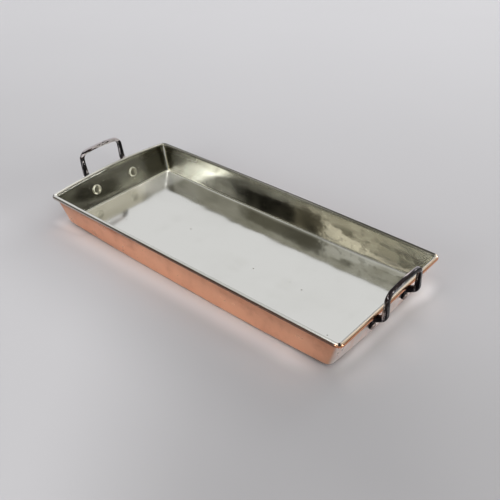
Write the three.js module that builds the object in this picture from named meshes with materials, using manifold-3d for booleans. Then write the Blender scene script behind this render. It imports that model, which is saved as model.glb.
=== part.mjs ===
// Copper baking tray: a pan of tinned sheet copper with a wired rim and two riveted iron handles.
// Millimetres, +Z up. X runs along the tray and Y across it. The origin is on the table, under
// the middle of the base. The near end of the tray is at +X and the far end at -X.

import * as THREE from 'three';
import { mergeVertices } from 'three/addons/utils/BufferGeometryUtils.js';
import Module from 'manifold-3d';

// Sizes of the pan
const rimLength = 566;        // from rim wire to rim wire, end to end
const rimWidth = 251;         // from rim wire to rim wire, across
const rimHeight = 51;         // rim wire above the table
const nearFlare = 13.4;       // how far the near end wall leans out between table and rim
const farFlare = 13.2;        // the same for the far end wall
const backFlare = 5;          // the same for the back wall
const frontFlareNear = 2.8;   // the same for the front wall, at its near end
const frontFlareFar = 10.2;   // the same for the front wall, at its far end
const rimCorner = 2.6;        // plan radius inside a corner of the rim
const baseCorner = 5.4;       // plan radius of the flat floor at a corner
const heelRadius = 2.5;       // inside radius between floor and wall
const sheet = 1.2;            // copper sheet
const tinThickness = 0.3;     // tin lining
const tinGap = 0.05;          // between the lining and the copper

// Hand work: how far the pan has moved away from its straight lines
const farBow = 2.5;           // middle of the far rim, out
const farCrown = 5;           // middle of the far rim, up
const backBow = 3;            // middle of the back rim, out
const frontBelly = 1.6;       // middle of the front base edge, out
const backBelly = 2.2;        // middle of the back base edge, out
const nearBelly = 5;          // middle of the near base edge, out
const nearLift = 5;           // near end of the base, up
const farLift = 3.9;          // far end of the base, up
const flatBase = 120;         // length of base that lies flat on the table

// Wired rim
const wireDiameter = 3.2;
const wireGap = 0.3;          // between the wire and the sheet rolled round it
const rollAngle = 225;        // degrees of sheet rolled round the wire

// Handles
const footSpacing = 83;       // between the two feet of a handle, axis to axis
const nearLegGap = 5.6;       // between the rolled rim and the near handle's legs
const farLegGap = 6.5;        // the same for the far handle
const nearElbowDrop = 1.6;    // elbow of the near handle below the rim wire
const farElbowDrop = 4.4;     // the same for the far handle
const handleRise = 38.6;      // from elbow to grip, axis to axis
const nearLean = 0;           // degrees that the near handle leans out
const farLean = 10.5;         // the same for the far handle
const nearShift = 0.5;        // middle of the near handle, towards the back
const farShift = -1.5;        // the same for the far handle
const gripCrown = 1.5;        // middle of the grip above its ends
const footThickness = 7.5;    // forged bar at the foot
const gripThickness = 6.6;    // forged bar at the grip
const barEdge = 2;            // rounding on the long edges of the bar
const elbowRadius = 8;        // bend between foot and leg, on the bar's axis
const shoulderRadius = 12;    // bend between leg and grip, on the bar's axis
const rimClearance = 0.3;     // between the foot and the rolled rim above it

// Palms and rivets
const palmWidth = 15;
const palmThickness = 3.4;
const palmTail = 8.5;         // palm below the rivet
const nearRivetDrop = 25;     // near rivets below the rim wire
const farRivetDrop = 24;      // far rivets below the rim wire
const rivetShank = 5;
const innerHeadDiameter = 14;
const innerHeadHeight = 2.2;
const outerHeadDiameter = 10.5;
const outerHeadHeight = 2.6;
const headEdge = 0.6;         // upright edge of a rivet head
const dishDiameter = 9;       // dish hammered into an inner head
const dishDepth = 0.7;
const seatGap = 0.3;          // between riveted pieces, and round a shank

// Smoothness
const floorShares = [0.2, 0.6, 0.9];  // rings of the floor, from its middle to the heel
const wallSteps = 2;
const longSteps = 10;
const endSteps = 6;
const cornerSteps = 4;
const heelSteps = 3;
const rollSteps = 8;
const wireSides = 6;
const bendSteps = 5;
const gripSteps = 6;
const palmSteps = 4;
const domeSteps = 4;
const roundSteps = 16;

// What follows from the sizes
const curlBore = wireDiameter / 2 + wireGap;
const liningBack = sheet + tinGap;
const liningFront = liningBack + tinThickness;
const rolledRadius = curlBore + liningFront;
const floorInset = curlBore + sheet + heelRadius;

const wasm = await Module();
wasm.setup();

const copper = { color: 0xc07a5c, roughness: 0.35, metalness: 1 };
const tin = { color: 0xc9c8c0, roughness: 0.28, metalness: 1 };
const iron = { color: 0x2b2526, roughness: 0.45, metalness: 1 };
const steelWire = { color: 0x6b6a68, roughness: 0.5, metalness: 1 };
const tinnedCopper = { color: 0xb9a79a, roughness: 0.35, metalness: 1 };

const tray = new THREE.Group();

function addPiece(name, geometry, finish) {
  const mesh = new THREE.Mesh(geometry, new THREE.MeshStandardMaterial(finish));
  mesh.name = name;
  tray.add(mesh);
  return mesh;
}

// Closed surfaces

// A surface over rings of points, with as many points in each ring.
class Skin {
  constructor(rings) {
    this.rings = rings;
    this.count = rings[0].length;
    this.positions = rings.flat().flatMap((point) => [point.x, point.y, point.z]);
    this.faces = [];
  }

  // Covers the strip from one ring to another. Turning the strip over keeps the same diagonals,
  // so that two faces of a sheet stay parallel.
  strip(from, to, turnedOver = false) {
    for (let i = 0; i < this.count; i += 1) {
      const next = (i + 1) % this.count;
      const [near, nearNext] = [from * this.count + i, from * this.count + next];
      const [far, farNext] = [to * this.count + i, to * this.count + next];
      if (turnedOver) {
        this.faces.push(near, nearNext, farNext, near, farNext, far);
      } else {
        this.faces.push(near, farNext, nearNext, near, far, farNext);
      }
    }
  }

  // Closes a ring with a fan round its middle.
  cap(index, turnedOver = false) {
    const middle = new THREE.Vector3();
    this.rings[index].forEach((point) => middle.add(point));
    middle.divideScalar(this.count);
    const hub = this.positions.length / 3;
    this.positions.push(middle.x, middle.y, middle.z);
    for (let i = 0; i < this.count; i += 1) {
      const here = index * this.count + i;
      const next = index * this.count + (i + 1) % this.count;
      this.faces.push(hub, turnedOver ? next : here, turnedOver ? here : next);
    }
  }

  geometry() {
    const geometry = new THREE.BufferGeometry();
    geometry.setAttribute('position', new THREE.Float32BufferAttribute(this.positions, 3));
    geometry.setIndex(this.faces);
    return geometry;
  }
}

// A solid over a stack of rings, capped at both ends.
function stackRings(rings) {
  const skin = new Skin(rings);
  const last = rings.length - 1;
  for (let ring = 0; ring < last; ring += 1) {
    skin.strip(ring, ring + 1);
  }
  skin.cap(0);
  skin.cap(last, true);
  return skin.geometry();
}

// Joining and cutting of solids

function toSolid(geometry) {
  const bare = geometry.clone();
  bare.deleteAttribute('normal');
  bare.deleteAttribute('uv');
  const merged = mergeVertices(bare);
  return new wasm.Manifold(new wasm.Mesh({
    numProp: 3,
    vertProperties: new Float32Array(merged.attributes.position.array),
    triVerts: new Uint32Array(merged.index.array),
  }));
}

function toGeometry(solid) {
  const mesh = solid.getMesh();
  const geometry = new THREE.BufferGeometry();
  geometry.setAttribute('position', new THREE.BufferAttribute(mesh.vertProperties, 3));
  geometry.setIndex(new THREE.BufferAttribute(mesh.triVerts, 1));
  return geometry;
}

function cutHoles(solid, holes) {
  return holes.reduce((rest, hole) => rest.subtract(hole), solid);
}

// Shape of the pan

// Ends of the pan: the sign of X, how the wall stands there, and how the handle sits on it.
const nearEnd = {
  sign: 1,
  flare: nearFlare,
  frontFlare: frontFlareNear,
  bow: 0,
  crown: 0,
  belly: nearBelly,
  lift: nearLift,
  legGap: nearLegGap,
  elbowDrop: nearElbowDrop,
  lean: nearLean,
  shift: nearShift,
  rivetHeight: rimHeight - nearRivetDrop,
};
const farEnd = {
  sign: -1,
  flare: farFlare,
  frontFlare: frontFlareFar,
  bow: farBow,
  crown: farCrown,
  belly: 0,
  lift: farLift,
  legGap: farLegGap,
  elbowDrop: farElbowDrop,
  lean: farLean,
  shift: farShift,
  rivetHeight: rimHeight - farRivetDrop,
};
const corners = [
  { end: nearEnd, side: 1 },
  { end: farEnd, side: 1 },
  { end: farEnd, side: -1 },
  { end: nearEnd, side: -1 },
];

// Half length towards one end, and half width at a corner, of the outline that lies inset from
// the rim wire. down is how far down the wall it lies: 0 at the rim wire and 1 at the table.
function halfLength(end, down, inset) {
  return rimLength / 2 - end.flare * down - inset;
}

function halfWidth({ end, side }, down, inset) {
  const flare = side > 0 ? backFlare : end.frontFlare;
  return rimWidth / 2 - flare * down - inset;
}

// Moves a point of the straight pan to where the hand-made pan has it.
function shapeByHand(x, y, z, down) {
  const end = x < 0 ? farEnd : nearEnd;
  const along = Math.abs(x) / (rimLength / 2);
  const across = Math.abs(y) / (rimWidth / 2);
  const up = 1 - down;
  const endShare = along * Math.max(0, 1 - across ** 2);
  const endBow = end.bow * up + end.belly * down;
  const sideBow = y > 0 ? backBow * up + backBelly * down : frontBelly * down;
  const lifted = halfLength(end, 1, curlBore) - flatBase / 2;
  const climb = Math.max(0, Math.abs(x) - flatBase / 2) / lifted;
  return new THREE.Vector3(
    x + end.sign * endBow * endShare,
    y + Math.sign(y) * sideBow * across * Math.max(0, 1 - along ** 2),
    z + end.lift * down * climb ** 2 + end.crown * up * endShare,
  );
}

// One ring round the pan: a rounded rectangle, drawn in towards the middle by scale.
function panRing({ scale = 1, inset, down, z }) {
  const atRim = rimCorner + rolledRadius;
  const atFloor = baseCorner + floorInset;
  const radius = THREE.MathUtils.lerp(atRim, atFloor, down) - inset;
  const ring = [];
  corners.forEach((corner, index) => {
    const centre = cornerCentre(corner);
    for (let step = 0; step <= cornerSteps; step += 1) {
      const angle = (index + step / cornerSteps) * Math.PI / 2;
      ring.push([centre.x + radius * Math.cos(angle), centre.y + radius * Math.sin(angle)]);
    }
    const [startX, startY] = ring.at(-1);
    const following = cornerCentre(corners[(index + 1) % corners.length]);
    const turned = (index + 1) * Math.PI / 2;
    const endX = following.x + radius * Math.cos(turned);
    const endY = following.y + radius * Math.sin(turned);
    const steps = index % 2 === 0 ? longSteps : endSteps;
    for (let step = 1; step < steps; step += 1) {
      const share = step / steps;
      ring.push([startX + (endX - startX) * share, startY + (endY - startY) * share]);
    }
  });
  return ring.map(([x, y]) => shapeByHand(x * scale, y * scale, z, down));

  function cornerCentre(corner) {
    return {
      x: corner.end.sign * (halfLength(corner.end, down, inset) - radius),
      y: corner.side * (halfWidth(corner, down, inset) - radius),
    };
  }
}

// One face of the sheet, as rings from the middle of the floor out to the lip of the rolled rim.
// depth is how far the face lies above the copper underside. All faces share the centres of
// their bends, so they stay parallel.
function sheetFace(depth) {
  const heel = heelRadius + sheet - depth;
  const roll = curlBore + depth;
  const rings = [];
  for (const scale of floorShares) {
    rings.push({ scale, inset: floorInset, down: 1, z: depth });
  }
  for (let step = 0; step <= heelSteps; step += 1) {
    const angle = (step / heelSteps) * Math.PI / 2;
    const z = depth + heel * (1 - Math.cos(angle));
    rings.push({ inset: roll + heel * (1 - Math.sin(angle)), down: 1 - z / rimHeight, z });
  }
  const heelTop = depth + heel;
  for (let step = 1; step < wallSteps; step += 1) {
    const z = THREE.MathUtils.lerp(heelTop, rimHeight, step / wallSteps);
    rings.push({ inset: roll, down: 1 - z / rimHeight, z });
  }
  for (let step = 0; step <= rollSteps; step += 1) {
    const angle = THREE.MathUtils.degToRad(rollAngle) * (step / rollSteps);
    rings.push({
      inset: roll * Math.cos(angle),
      down: 0,
      z: rimHeight + roll * Math.sin(angle),
    });
  }
  return rings.map(panRing);
}

// The solid between two faces of the sheet.
function sheetBetween(lowerDepth, upperDepth) {
  const upper = sheetFace(upperDepth);
  const lower = sheetFace(lowerDepth);
  const skin = new Skin([...upper, ...lower]);
  const lip = upper.length - 1;
  for (let ring = 0; ring < lip; ring += 1) {
    skin.strip(ring, ring + 1);
    skin.strip(upper.length + ring, upper.length + ring + 1, true);
  }
  skin.strip(lip, upper.length + lip);
  skin.cap(0);
  skin.cap(upper.length, true);
  return skin.geometry();
}

function rimWireGeometry() {
  const rings = [];
  const radius = wireDiameter / 2;
  for (let side = 0; side < wireSides; side += 1) {
    const angle = (side / wireSides) * 2 * Math.PI;
    rings.push(panRing({
      inset: radius * Math.cos(angle),
      down: 0,
      z: rimHeight + radius * Math.sin(angle),
    }));
  }
  const skin = new Skin(rings);
  rings.forEach((ring, side) => skin.strip(side, (side + 1) % wireSides));
  return skin.geometry();
}

// A point on an end wall, clear of its copper face by the given distance.
function wallPoint(end, y, height, clear) {
  const down = 1 - height / rimHeight;
  const x = end.sign * halfLength(end, down, curlBore - clear);
  return shapeByHand(x, y, height, down);
}

// The direction straight out of an end wall.
function wallNormal(end, y, height) {
  const place = wallPoint(end, y, height, 0);
  const across = wallPoint(end, y + end.sign, height, 0).sub(place);
  const upwards = wallPoint(end, y, height + 1, 0).sub(place);
  return across.cross(upwards).normalize();
}

function footPlace(end, side) {
  return end.shift + side * footSpacing / 2;
}

// Rivets

function rivetPlace(end, side) {
  const y = footPlace(end, side);
  const place = wallPoint(end, y, end.rivetHeight, 0);
  const outwards = wallNormal(end, y, end.rivetHeight);
  const turn = new THREE.Quaternion().setFromUnitVectors(new THREE.Vector3(0, 1, 0), outwards);
  return { place, turn };
}

// The outline of a rivet head from the middle of its dome to its edge, as radius and height.
function headOutline(diameter, height, dish) {
  const points = [];
  for (let step = 0; step <= domeSteps; step += 1) {
    const angle = (step / domeSteps) * Math.PI / 2;
    const radius = diameter / 2 * Math.sin(angle);
    const dome = headEdge + (height - headEdge) * Math.cos(angle);
    points.push([radius, dome - dish * Math.max(0, 1 - (2 * radius / dishDiameter) ** 2)]);
  }
  return points;
}

// The rivet stands on its own Y axis, with the copper face of the wall at zero.
function rivetGeometry() {
  const inside = -liningFront - seatGap;
  const outside = palmThickness + 2 * seatGap;
  const innerHead = headOutline(innerHeadDiameter, innerHeadHeight, dishDepth);
  const outerHead = headOutline(outerHeadDiameter, outerHeadHeight, 0);
  const profile = [
    ...innerHead.map(([radius, height]) => [radius, inside - height]),
    [innerHeadDiameter / 2, inside],
    [rivetShank / 2, inside],
    [rivetShank / 2, outside],
    [outerHeadDiameter / 2, outside],
    ...outerHead.reverse().map(([radius, height]) => [radius, outside + height]),
  ];
  const points = profile.map(([radius, height]) => new THREE.Vector2(radius, height));
  return new THREE.LatheGeometry(points, roundSteps);
}

function rivetHole(end, side) {
  const radius = rivetShank / 2 + seatGap;
  const length = 4 * (palmThickness + liningFront);
  const { place, turn } = rivetPlace(end, side);
  const hole = new THREE.CylinderGeometry(radius, radius, length, roundSteps);
  hole.applyQuaternion(turn);
  hole.translate(place.x, place.y, place.z);
  return toSolid(hole);
}

function rivetHoles(end) {
  return [-1, 1].map((side) => rivetHole(end, side));
}

// Handles

// A path through corner points, with a round bend at each inner one.
function bentPath(points, radii) {
  const path = [points[0].clone()];
  for (let i = 1; i < points.length - 1; i += 1) {
    const back = points[i - 1].clone().sub(points[i]).normalize();
    const ahead = points[i + 1].clone().sub(points[i]).normalize();
    const half = back.angleTo(ahead) / 2;
    const trim = radii[i - 1] / Math.tan(half);
    const from = points[i].clone().addScaledVector(back, trim);
    const to = points[i].clone().addScaledVector(ahead, trim);
    const middle = back.clone().add(ahead).normalize();
    const centre = points[i].clone().addScaledVector(middle, radii[i - 1] / Math.sin(half));
    const sweep = Math.PI - 2 * half;
    const start = from.clone().sub(centre);
    const axis = start.clone().cross(to.clone().sub(centre)).normalize();
    for (let step = 0; step <= bendSteps; step += 1) {
      const arm = start.clone().applyAxisAngle(axis, sweep * step / bendSteps);
      path.push(centre.clone().add(arm));
    }
  }
  path.push(points.at(-1).clone());
  return path;
}

// A square section with rounded edges, as points in the plane of two unit vectors.
function barSection(centre, wide, deep, thickness) {
  const flat = thickness / 2 - barEdge;
  const ring = [];
  for (let edge = 0; edge < 4; edge += 1) {
    const middle = (edge + 0.5) * Math.PI / 2;
    const sideways = flat * Math.sign(Math.cos(middle));
    const upright = flat * Math.sign(Math.sin(middle));
    for (const offset of [-Math.PI / 4, Math.PI / 4]) {
      const angle = middle + offset;
      ring.push(centre.clone()
        .addScaledVector(wide, sideways + barEdge * Math.cos(angle))
        .addScaledVector(deep, upright + barEdge * Math.sin(angle)));
    }
  }
  return ring;
}

// Forges a bar along a path, with the thickness given for each point. Both of its ends face the
// wall.
function forgeBar(path, outwards, thicknessAt) {
  let wide = new THREE.Vector3(0, 1, 0);
  const last = path.length - 1;
  const rings = path.map((point, i) => {
    let along = path[Math.min(i + 1, last)].clone().sub(path[Math.max(i - 1, 0)]).normalize();
    if (i === 0) {
      along = outwards.clone();
    }
    if (i === last) {
      along = outwards.clone().negate();
    }
    wide = wide.clone().addScaledVector(along, -wide.dot(along)).normalize();
    const deep = along.clone().cross(wide);
    return barSection(point, wide, deep, thicknessAt(point));
  });
  return stackRings(rings.reverse());
}

// The flattened end of the bar, lying on the end wall from top downwards, with a round tail.
function palmGeometry(end, side, top) {
  const middle = footPlace(end, side);
  const half = palmWidth / 2;
  const tailCentre = end.rivetHeight - palmTail + half;
  const outline = [];
  for (let step = 0; step < palmSteps; step += 1) {
    outline.push([half, THREE.MathUtils.lerp(top, tailCentre, step / palmSteps)]);
  }
  for (let step = 0; step <= 2 * palmSteps; step += 1) {
    const angle = -Math.PI * step / (2 * palmSteps);
    outline.push([half * Math.cos(angle), tailCentre + half * Math.sin(angle)]);
  }
  for (let step = palmSteps - 1; step >= 0; step -= 1) {
    outline.push([-half, THREE.MathUtils.lerp(top, tailCentre, step / palmSteps)]);
  }
  const face = (clear) => outline.map(([across, height]) => (
    wallPoint(end, middle - end.sign * across, height, clear)
  ));
  return stackRings([face(seatGap + palmThickness), face(seatGap)]);
}

// The height on the wall where a foot starts. From there it passes close below the rolled rim
// and reaches its elbow, so it touches a circle round the rim wire.
function footHeight(end) {
  const elbowOut = rolledRadius + end.legGap + footThickness / 2;
  const circle = rolledRadius + rimClearance + footThickness / 2;
  const slope = Math.asin(circle / Math.hypot(elbowOut, end.elbowDrop))
    - Math.atan2(end.elbowDrop, elbowOut);
  const footShare = 1 - (footSpacing / rimWidth) ** 2;
  const wallSlope = (end.flare - end.belly * footShare) / rimHeight;
  const wallOut = seatGap + palmThickness / 2 - curlBore - wallSlope * end.elbowDrop;
  const length = (elbowOut - wallOut) / (Math.cos(slope) - wallSlope * Math.sin(slope));
  return rimHeight - end.elbowDrop - length * Math.sin(slope);
}

function handleGeometry(end) {
  const lean = THREE.MathUtils.degToRad(end.lean);
  const rootHeight = footHeight(end);
  const turns = [];
  for (const side of [-1, 1]) {
    const y = footPlace(end, side);
    const root = wallPoint(end, y, rootHeight, seatGap + palmThickness / 2);
    const elbow = shapeByHand(end.sign * rimLength / 2, y, rimHeight, 0);
    elbow.x += end.sign * (rolledRadius + end.legGap + footThickness / 2);
    elbow.z -= end.elbowDrop;
    const shoulder = elbow.clone();
    shoulder.x += end.sign * handleRise * Math.sin(lean);
    shoulder.z += handleRise * Math.cos(lean);
    turns.push(...(side < 0 ? [root, elbow, shoulder] : [shoulder, elbow, root]));
  }
  const radii = [elbowRadius, shoulderRadius, shoulderRadius, elbowRadius];
  const path = crownGrip(bentPath(turns, radii));
  const [root, , shoulder] = turns;
  const thicknessAt = (point) => {
    const share = THREE.MathUtils.clamp((point.z - root.z) / (shoulder.z - root.z), 0, 1);
    return THREE.MathUtils.lerp(footThickness, gripThickness, share);
  };
  const bar = toSolid(forgeBar(path, wallNormal(end, end.shift, rootHeight), thicknessAt));
  const palmTop = rootHeight + footThickness / 2;
  const palms = [-1, 1].map((side) => toSolid(palmGeometry(end, side, palmTop)));
  return toGeometry(cutHoles(bar.add(palms[0]).add(palms[1]), rivetHoles(end)));
}

// Adds points along the grip, between the two shoulder bends, and raises its middle.
function crownGrip(path) {
  const gripStart = 2 * (bendSteps + 1);
  const from = path[gripStart];
  const to = path[gripStart + 1];
  const grip = [];
  for (let step = 1; step < gripSteps; step += 1) {
    const share = step / gripSteps;
    const point = from.clone().lerp(to, share);
    point.z += gripCrown * 4 * share * (1 - share);
    grip.push(point);
  }
  return [...path.slice(0, gripStart + 1), ...grip, ...path.slice(gripStart + 1)];
}

// Assembly

const ends = { near: nearEnd, far: farEnd };
const sides = { front: -1, back: 1 };
const wallHoles = Object.values(ends).flatMap(rivetHoles);

const panSolid = cutHoles(toSolid(sheetBetween(0, sheet)), wallHoles);
const liningSolid = cutHoles(toSolid(sheetBetween(liningBack, liningFront)), wallHoles);
addPiece('pan_body', toGeometry(panSolid), copper);
addPiece('tin_lining', toGeometry(liningSolid), tin);
addPiece('rim_wire', rimWireGeometry(), steelWire);

for (const [endName, end] of Object.entries(ends)) {
  addPiece(`handle_${endName}`, handleGeometry(end), iron);
  for (const [sideName, side] of Object.entries(sides)) {
    const rivet = addPiece(`rivet_${endName}_${sideName}`, rivetGeometry(), tinnedCopper);
    const { place, turn } = rivetPlace(end, side);
    rivet.position.copy(place);
    rivet.quaternion.copy(turn);
  }
}

export default tray;
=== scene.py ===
"""A copper baking tray, tinned inside, with a wired rim and two forged iron handles."""

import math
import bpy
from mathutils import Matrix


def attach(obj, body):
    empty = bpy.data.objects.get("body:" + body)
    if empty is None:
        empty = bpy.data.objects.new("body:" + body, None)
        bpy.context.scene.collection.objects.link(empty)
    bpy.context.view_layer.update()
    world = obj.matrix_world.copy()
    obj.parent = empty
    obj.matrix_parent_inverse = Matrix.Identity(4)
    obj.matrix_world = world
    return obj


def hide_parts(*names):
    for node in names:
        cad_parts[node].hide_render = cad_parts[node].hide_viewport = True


bl_info = {
    "name": "Copper baking tray",
    "version": (1, 0, 0),
    "blender": (4, 5, 0),
    "location": "3D View > Sidebar > Baking tray",
    "description": "Dresses the baking tray and sets up its studio",
    "category": "Add Mesh",
}

import bmesh
import bpy
from bpy.props import FloatProperty, FloatVectorProperty, PointerProperty
from mathutils import Matrix, Quaternion, Vector, noise

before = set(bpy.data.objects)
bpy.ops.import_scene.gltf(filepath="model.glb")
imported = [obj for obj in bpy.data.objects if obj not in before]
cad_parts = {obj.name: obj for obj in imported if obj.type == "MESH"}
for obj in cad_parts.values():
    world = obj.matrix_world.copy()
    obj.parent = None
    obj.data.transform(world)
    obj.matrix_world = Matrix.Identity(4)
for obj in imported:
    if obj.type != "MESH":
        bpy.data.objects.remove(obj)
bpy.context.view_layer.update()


# Sizes and colours


def number(description, default, kind=FloatProperty, **more):
    """A size that is made once the name of its line is known."""
    return lambda name: kind(name=name, description=description, default=default, **more)


def length(description, default):
    return number(description, default, unit="LENGTH", precision=5)


def turn(description, degrees):
    return number(description, math.radians(degrees), unit="ROTATION")


def power(description, default):
    return number(description, default, unit="POWER")


def colour(description, default):
    return number(description, default, FloatVectorProperty, subtype="COLOR", min=0, max=1)


def named(group):
    """Names each size of a group in plain words after its line."""
    for line, make in group.__annotations__.items():
        group.__annotations__[line] = make(line.replace("_", " ").capitalize())
    return group


@named
class PanSizes(bpy.types.PropertyGroup):
    """Sizes of the pan"""

    rim_length: length("Over the rim wires, end to end", 0.566)
    rim_width: length("Over the rim wires, across", 0.251)
    rim_height: length("Rim wire above the table", 0.051)
    near_flare: length("Lean of the near end wall", 0.0134)
    far_flare: length("Lean of the far end wall", 0.0132)
    back_flare: length("Lean of the back wall", 0.005)
    near_front_flare: length("Lean of the front wall, near end", 0.0028)
    far_front_flare: length("Lean of the front wall, far end", 0.0102)
    rim_corner: length("Radius inside a corner of the rim", 0.0026)
    base_corner: length("Radius of the flat floor at a corner", 0.0054)
    heel_radius: length("Inside, between floor and wall", 0.0025)
    sheet: length("Thickness of the copper", 0.0012)
    tin: length("Thickness of the tin lining", 0.0003)
    tin_gap: length("Between lining and copper", 0.00005)
    far_bow: length("Middle of the far rim, out", 0.0025)
    far_crown: length("Middle of the far rim, up", 0.005)
    back_bow: length("Middle of the back rim, out", 0.003)
    front_belly: length("Middle of the front base edge, out", 0.0016)
    back_belly: length("Middle of the back base edge, out", 0.0022)
    near_belly: length("Middle of the near base edge, out", 0.005)
    near_lift: length("Near end of the base, up", 0.005)
    far_lift: length("Far end of the base, up", 0.0039)
    flat_base: length("Length of base that lies flat", 0.12)
    wire: length("Diameter of the rim wire", 0.0032)
    wire_gap: length("Between the wire and the sheet round it", 0.0003)
    roll: turn("How far the sheet is rolled round the wire", 225)
    floor_dent: length("Depth of the dents in the floor", 0.00028)
    wall_dent: length("Depth of the dents in the walls", 0.0002)
    bead_dent: length("Unevenness of the rolled rim", 0.00012)
    nick: length("Depth of the cut in the rolled rim at a corner", 0.0009)


@named
class HandleSizes(bpy.types.PropertyGroup):
    """Sizes of the handles"""

    foot_spacing: length("Between the feet, axis to axis", 0.083)
    near_leg_gap: length("Between rolled rim and near handle", 0.0056)
    far_leg_gap: length("Between rolled rim and far handle", 0.0065)
    near_elbow_drop: length("Near elbow below the rim wire", 0.0016)
    far_elbow_drop: length("Far elbow below the rim wire", 0.0044)
    rise: length("From elbow to grip, axis to axis", 0.0386)
    near_lean: turn("How far the near handle leans out", 0)
    far_lean: turn("How far the far handle leans out", 10.5)
    near_shift: length("Near handle off the middle, to the back", 0.0005)
    far_shift: length("Far handle off the middle, to the back", -0.0015)
    crown: length("Middle of the grip above its ends", 0.0015)
    foot: length("Thickness of the bar at the foot", 0.0091)
    grip: length("Thickness of the bar at the grip", 0.0066)
    elbow_radius: length("Bend between foot and leg", 0.008)
    shoulder_radius: length("Bend between leg and grip", 0.012)
    rim_clearance: length("Between foot and rolled rim", 0.0003)
    palm_width: length("Width of a palm", 0.0135)
    palm: length("Thickness of a palm", 0.0034)
    palm_tail: length("Palm below its rivet", 0.0065)
    near_rivet_drop: length("Near rivets below the rim wire", 0.025)
    far_rivet_drop: length("Far rivets below the rim wire", 0.024)
    dent: length("Depth of the hammer marks", 0.00016)
    voxel: length("Fineness of the forged surface", 0.0007)


@named
class RivetSizes(bpy.types.PropertyGroup):
    """Sizes of the rivets"""

    shank: length("Diameter of the shank", 0.005)
    inner_head: length("Diameter of the head inside", 0.0168)
    inner_height: length("Height of the head inside", 0.0022)
    outer_head: length("Diameter of the head outside", 0.0105)
    outer_height: length("Height of the head outside", 0.0026)
    head_edge: length("Upright edge of a head", 0.0006)
    dish: length("Diameter of the dish in a head inside", 0.0134)
    dish_depth: length("Depth of the dish", 0.0013)
    seat_gap: length("Between riveted pieces", 0.0003)
    dent: length("Unevenness of the heads", 0.00013)


@named
class FinishColours(bpy.types.PropertyGroup):
    """Colours of the finishes"""

    copper: colour("Polished copper", (0.965, 0.54, 0.35))
    # Mottled tarnish, and painted shade under the rim and along the base
    copper_dull: colour("Copper that has darkened", (0.50, 0.22, 0.14))
    # Painted reflection that makes the near end wall paler
    copper_pale: colour("Copper rubbed pale, near end", (0.86, 0.81, 0.78))
    copper_bare: colour("Copper that lost its tin", (0.95, 0.42, 0.22))
    # Painted shade under the rolled rim, with dirt in the fold
    copper_dark: colour("Fold under the rim", (0.22, 0.13, 0.095))
    tin: colour("Wiped tin", (0.875, 0.875, 0.81))
    # Greyed tin, also used for painted shade in the heel crease and on the rims
    tin_dull: colour("Tin that has greyed", (0.50, 0.49, 0.40))
    # Dark tin, also used for painted shade in the heel crease, nicks, groove and rims
    tin_dark: colour("Tin worn and smoked dark", (0.20, 0.19, 0.14))
    # Near-black colour of the patch in the middle of the back wall
    tin_burnt: colour("Tin burnt nearly black", (0.07, 0.065, 0.05))
    tin_cream: colour("Tin on the near rim", (0.75, 0.6, 0.46))
    # Tin pooled in the corners, painted lighter as a highlight along them
    solder: colour("Tin pooled in the corners", (0.93, 0.93, 0.95))
    # Black of the painted shade in the rim's nicks and lines
    soot: colour("Dark lines and nicks of the rim", (0.03, 0.028, 0.025))
    iron: colour("Forge scale", (0.006, 0.005, 0.006))
    iron_worn: colour("Iron rubbed by hands", (0.46, 0.42, 0.42))
    # Painted highlight along the top of the near grip
    iron_bright: colour("Edge of the near grip", (0.85, 0.74, 0.73))
    rust: colour("Brown in the forge scale", (0.04, 0.018, 0.015))
    wire: colour("Rim wire", (0.30, 0.29, 0.28))
    rivet: colour("Tinned rivet outside", (0.36, 0.29, 0.26))


@named
class StudioSizes(bpy.types.PropertyGroup):
    """Floor, light and camera"""

    floor_colour: colour("Paper floor, in front", (0.33, 0.325, 0.33))
    floor_far: colour("Paper floor, far behind", (0.71, 0.71, 0.725))
    # Painted light that the copper throws on the paper
    floor_glow: colour("Paper lit by the copper", (0.78, 0.78, 0.79))
    floor_dim: colour("Paper right in front", (0.1, 0.1, 0.1))
    floor_cloud: colour("Clouds in the paper", (0.3, 0.3, 0.3))
    floor_shade: colour("Paper beside the tray", (0.15, 0.15, 0.15))
    top_power: power("Softbox overhead", 4.0)
    front_power: power("Low softbox in front", 13.6)
    end_power: power("Low softbox off the near end", 17.0)
    back_power: power("Low softbox behind", 85.0)
    near_power: power("High softbox off the near end", 9.0)
    room: number("Strength of the room's light", 1.0)
    azimuth: turn("Camera round the tray", 40.06)
    elevation: turn("Camera above the table", 34.65)
    distance: length("Camera from what it looks at", 1.18)
    target: number(
        "What the camera looks at",
        (0.005, 0.0338, -0.0116),
        FloatVectorProperty,
        subtype="TRANSLATION",
        unit="LENGTH",
    )
    focal_length: number("Of the camera's lens", 52.44, unit="CAMERA")


# Mesh steps: along and across the tray, up a wall, round the heel and the rolled rim
LONG_STEPS, END_STEPS, WALL_STEPS, HEEL_STEPS, ROLL_STEPS = 120, 50, 12, 7, 26

# Mesh steps round a handle's bar and round a bend of it, across a palm and down it
BAR_SIDES, BEND_STEPS, PALM_COLUMNS, PALM_ROWS = 32, 12, 12, 26

# Mesh steps round a rivet and over its head
RIVET_STEPS, HEAD_STEPS = 48, 12

# How often the skin of forged iron is softened
SOFT_ROUNDS = 4

# In metres: mesh step along a bar, half the width of a palm's end, how far below the axis of
# the grip its crown begins, and how far the floor reaches
BAR_STEP, PALM_END, GRIP_DEPTH, FLOOR_REACH = 0.0015, 0.0004, 0.0005, 6

# Section of the bar: 2 would be round, and more is squarer
SQUARENESS = 4

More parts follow.
